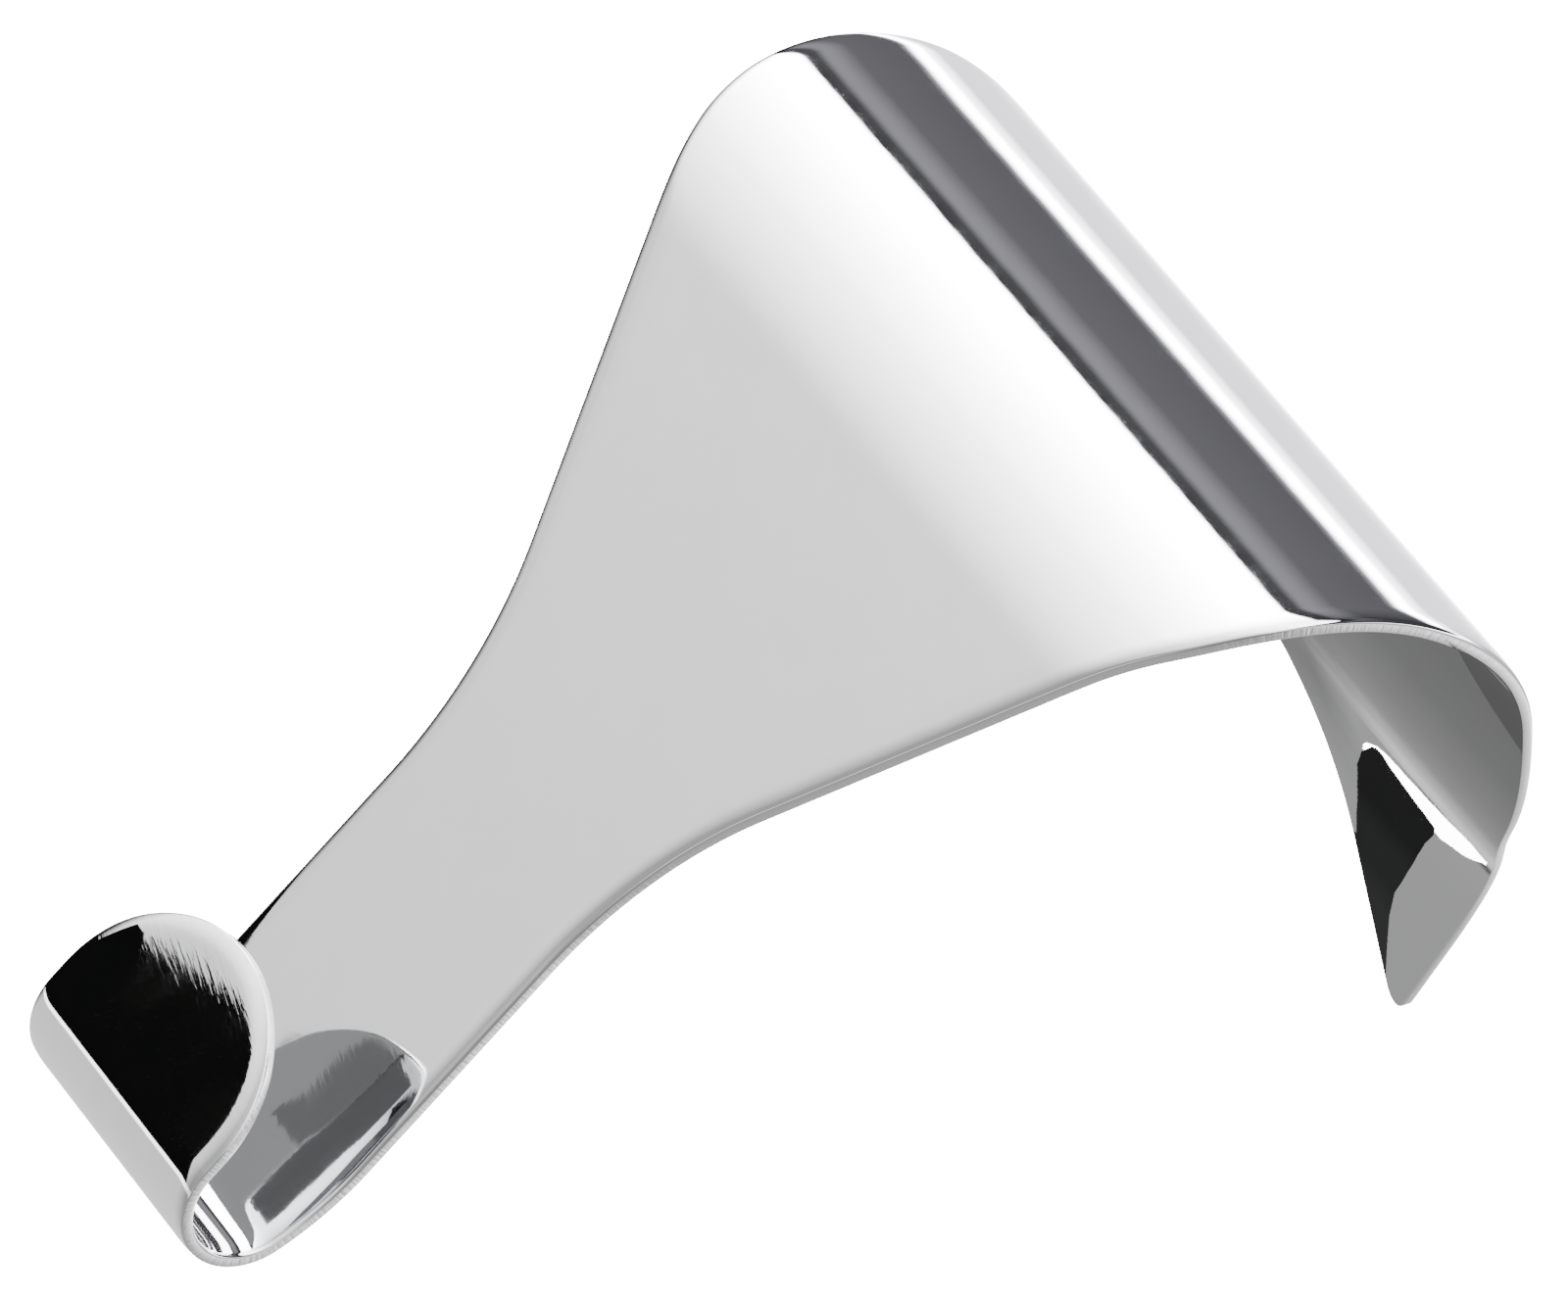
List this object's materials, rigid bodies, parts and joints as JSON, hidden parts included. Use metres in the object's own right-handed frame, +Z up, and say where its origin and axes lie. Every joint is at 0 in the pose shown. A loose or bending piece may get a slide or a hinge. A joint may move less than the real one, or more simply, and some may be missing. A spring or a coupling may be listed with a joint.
{
  "type": "picture rail hook",
  "caption": "Bent sheet-metal hook that drops over a picture-rail moulding: wide curved lip with a pointed nose, flared plate, narrow neck and a small curled hook for a cord.",
  "frame": {"origin": "the rail seat: the highest point of the inside of the top bend, in the middle of the width", "axes": "+X across the strip, +Y towards the wall behind the moulding, +Z up"},
  "size_m": [0.038, 0.0454, 0.046],
  "materials": {
    "chrome_plate": "mirror bright plating on pressed steel, with rounded press edges and sheared cut faces"
  },
  "bodies": {
    "root": {"hook_strip": "chrome_plate"}
  },
  "joints": []
}
